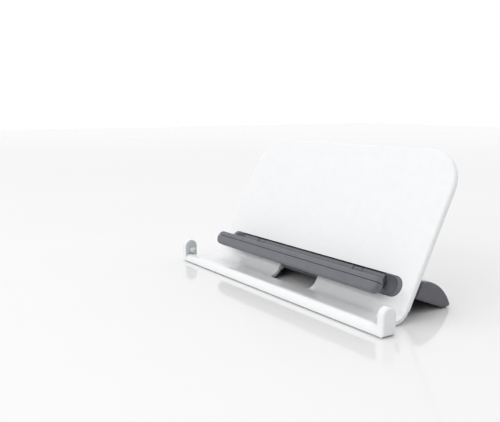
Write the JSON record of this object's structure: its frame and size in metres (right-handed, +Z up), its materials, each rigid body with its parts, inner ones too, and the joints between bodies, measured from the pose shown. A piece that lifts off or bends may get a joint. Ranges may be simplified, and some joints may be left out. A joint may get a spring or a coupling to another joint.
{
  "type": "tablet stand",
  "caption": "Tablet stand with a leaning back panel, a trough with sprung keyboard pegs in its ears, a fold-up tablet ledge and a fold-up rear foot.",
  "frame": {"origin": "centre of the footprint on the desk: bottom centre of the bounding box", "axes": "+X to the right along the trough, +Y to the back, +Z up; the tablet faces -Y"},
  "size_m": [0.2794, 0.1014, 0.1218],
  "materials": {
    "shell_white": "glossy white ABS",
    "cover_white": "satin white ABS, fine spark texture",
    "peg_grey": "light grey acetal",
    "ear_grey": "satin light grey ABS",
    "hinge_grey": "satin dark grey glass-filled nylon",
    "ledge_grey": "satin mid grey ABS",
    "lip_grey": "soft mid grey thermoplastic elastomer",
    "foot_grey": "semi-gloss dark grey ABS",
    "rubber_dark": "matt dark grey silicone rubber",
    "steel": "zinc plated or spring steel"
  },
  "bodies": {
    "base": {"front_shell": "shell_white", "rear_cover": "cover_white", "cover_screws": "steel", "front_feet": "rubber_dark", "hinge_cup": "ledge_grey", "hinge_bracket": "hinge_grey", "bracket_screws": "steel", "ledge_leaf_springs": "steel", "left_ear_cap": "ear_grey", "right_ear_cap": "ear_grey", "left_peg_spring": "steel", "right_peg_spring": "steel"},
    "ledge": {"ledge_body": "ledge_grey", "lip_cap": "lip_grey", "ledge_pad": "rubber_dark", "ledge_hinge_pins": "steel"},
    "foot": {"foot_top": "foot_grey", "foot_base": "foot_grey", "foot_pad": "rubber_dark", "foot_screws": "steel", "foot_hinge_pins": "steel", "foot_friction_washers": "steel"},
    "left_peg": {"left_peg": "peg_grey"},
    "right_peg": {"right_peg": "peg_grey"}
  },
  "joints": [
    {"name": "ledge_hinge", "type": "hinge", "parent": "base", "child": "ledge", "pos_m": [0, -0.00115, 0.02505], "axis": [-1, 0, 0], "range_deg": [0, 90]},
    {"name": "foot_hinge", "type": "hinge", "parent": "base", "child": "foot", "pos_m": [0, 0.01347, 0.02187], "axis": [1, 0, 0], "range_deg": [0, 90]},
    {"name": "left_peg_slide", "type": "slide", "parent": "base", "child": "left_peg", "axis": [-1, 0, 0], "range_m": [0, 0.0029], "stiffness_N_per_m": 900, "springref_m": -0.0015, "deforming": ["left_peg_spring"]},
    {"name": "right_peg_slide", "type": "slide", "parent": "base", "child": "right_peg", "axis": [1, 0, 0], "range_m": [0, 0.0029], "stiffness_N_per_m": 900, "springref_m": -0.0015, "deforming": ["right_peg_spring"]}
  ]
}
